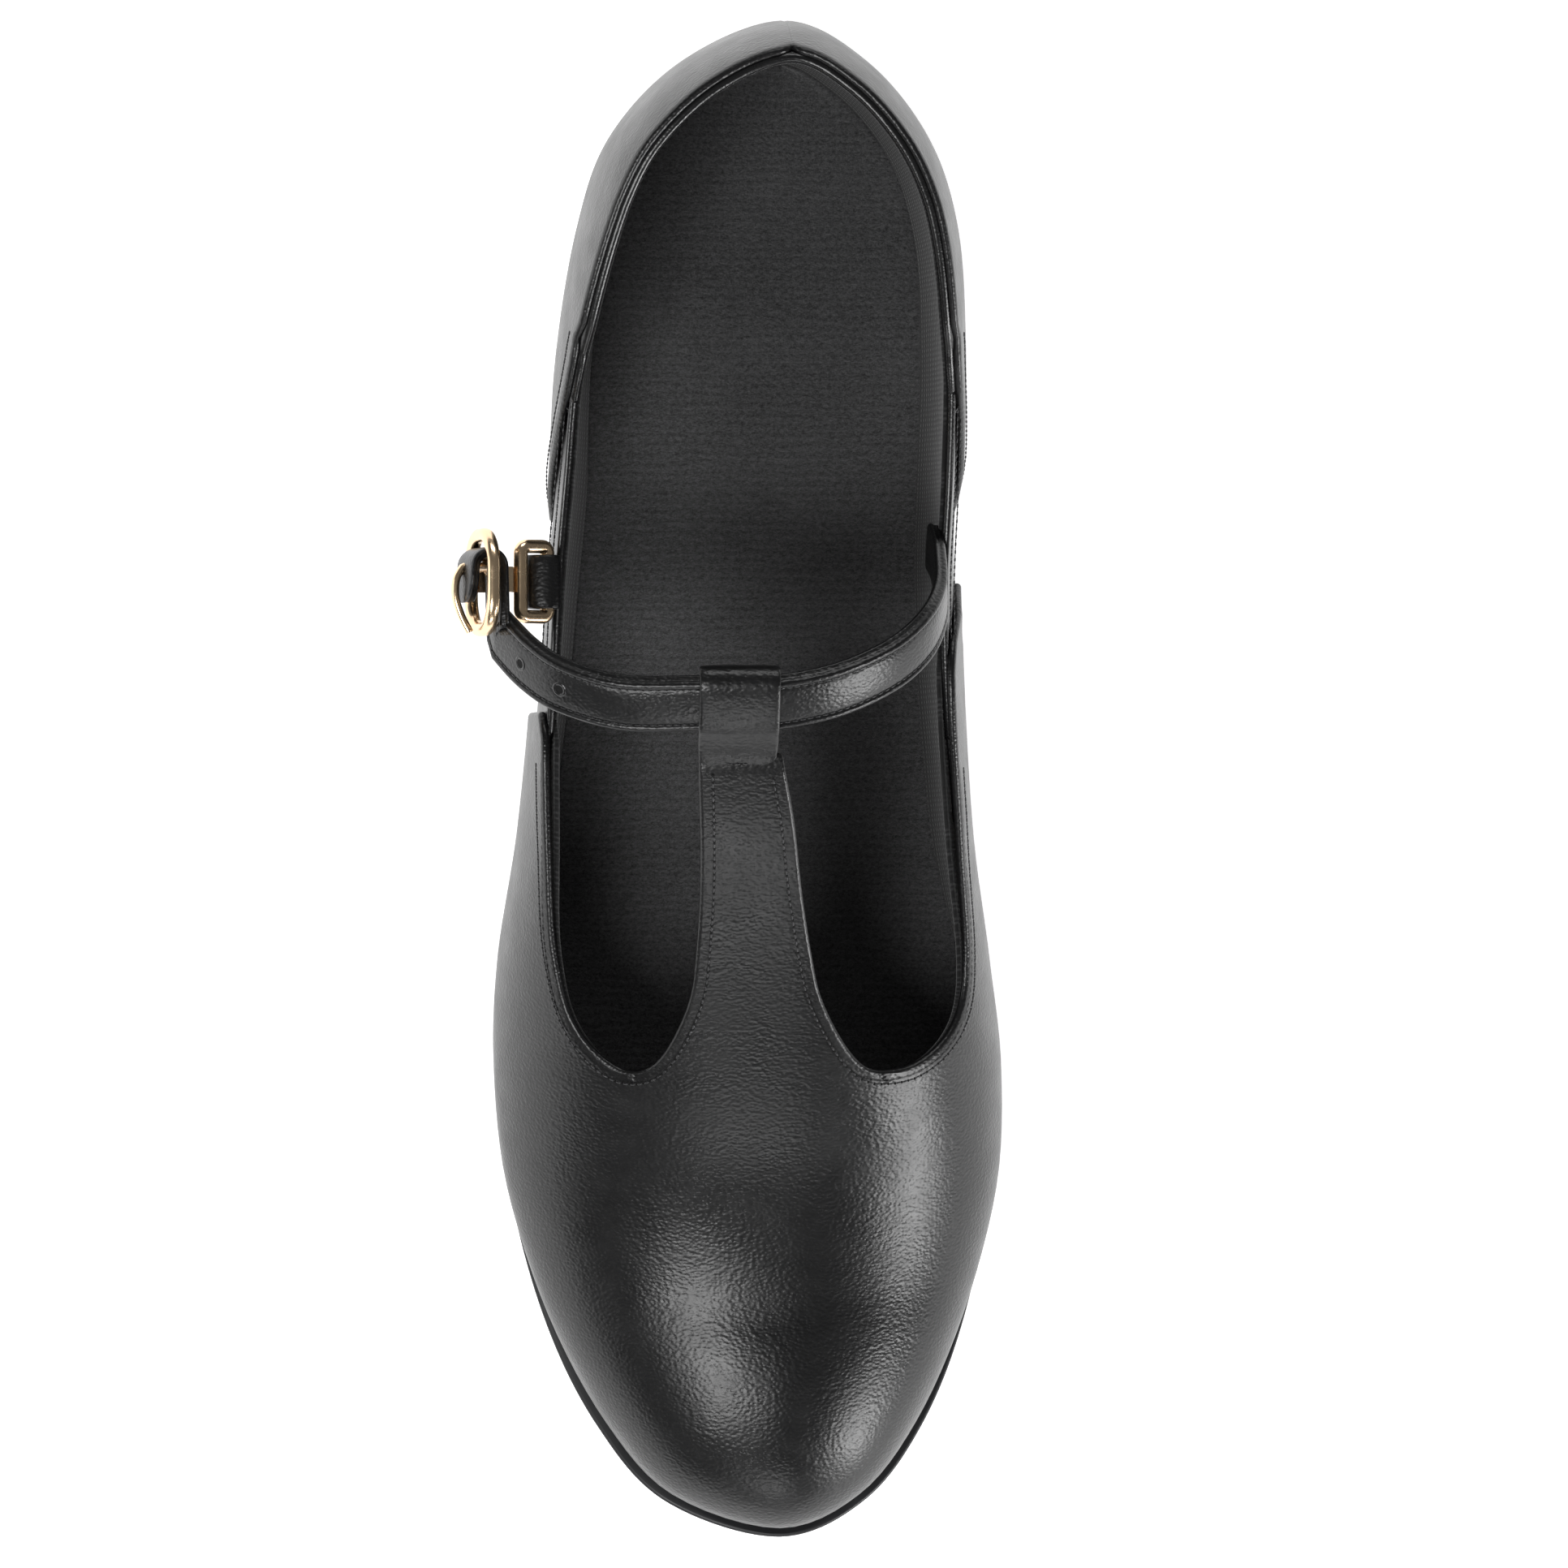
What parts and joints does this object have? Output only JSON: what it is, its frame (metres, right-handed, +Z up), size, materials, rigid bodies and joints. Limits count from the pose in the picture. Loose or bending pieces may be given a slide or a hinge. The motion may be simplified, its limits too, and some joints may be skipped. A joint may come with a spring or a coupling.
{
  "type": "tap shoe",
  "caption": "Black leather T-strap tap shoe with a stacked heel, metal toe and heel taps, an instep strap and a hook buckle that clips to a ring on the outer side.",
  "frame": {"origin": "on the ground under the middle of the shoe's bounding box, at the plane of the tap faces", "axes": "+Y towards the heel, +X towards the medial side, +Z up; it is a right shoe"},
  "size_m": [0.0922, 0.2474, 0.0984],
  "materials": {
    "black_leather": "semi-gloss fine-grained",
    "lining_cloth": "matt tricot",
    "sock_pile": "short ribbed pile",
    "stiffener": "matt thermoplastic sheet",
    "fibre_board": "pressed fibre board",
    "sole": "satin resin sole",
    "grip_rubber": "fine ribbed rubber",
    "heel": "satin black",
    "tap_metal": "cast and brushed",
    "steel": "zinc plated",
    "gold": "polished pale gold plating"
  },
  "bodies": {
    "shoe": {"outsole": "sole", "sole_grip_pad": "grip_rubber", "toe_tap_board": "fibre_board", "toe_tap": "tap_metal", "toe_tap_screws": "steel", "insole_board": "fibre_board", "steel_shank": "steel", "shank_rivets": "steel", "heel_block": "heel", "heel_nails": "steel", "heel_lift_board": "fibre_board", "heel_tap": "tap_metal", "heel_tap_screws": "steel", "sock_liner": "sock_pile", "vamp": "black_leather", "toe_puff": "stiffener", "vamp_lining": "lining_cloth", "heel_quarter_lateral": "black_leather", "heel_quarter_medial": "black_leather", "back_seam_tape": "lining_cloth", "heel_counter": "stiffener", "side_quarter_lateral": "black_leather", "side_quarter_medial": "black_leather", "quarter_lining": "lining_cloth", "topline_binding": "black_leather", "strap_loop": "black_leather", "strap_medial": "black_leather", "ring_tab": "black_leather"},
    "ring": {"ring": "gold"},
    "strap_end": {"strap_lateral": "black_leather", "buckle_frame": "gold", "buckle_bar": "gold", "buckle_hook": "gold"},
    "prong": {"buckle_prong": "gold"}
  },
  "joints": [
    {"name": "strap_swing", "type": "hinge", "parent": "shoe", "child": "strap_end", "pos_m": [-0.0302, 0.016, 0.0838], "axis": [0.057, 0.8044, 0.5913], "range_deg": [0, 75]},
    {"name": "ring_swing", "type": "hinge", "parent": "shoe", "child": "ring", "pos_m": [-0.0314, 0.0332, 0.0692], "axis": [0, 1, 0], "range_deg": [0, 75]},
    {"name": "prong_lift", "type": "hinge", "parent": "strap_end", "child": "prong", "pos_m": [-0.0418, 0.0354, 0.0742], "axis": [-0.2588, 0, -0.9659], "range_deg": [0, 80]}
  ]
}
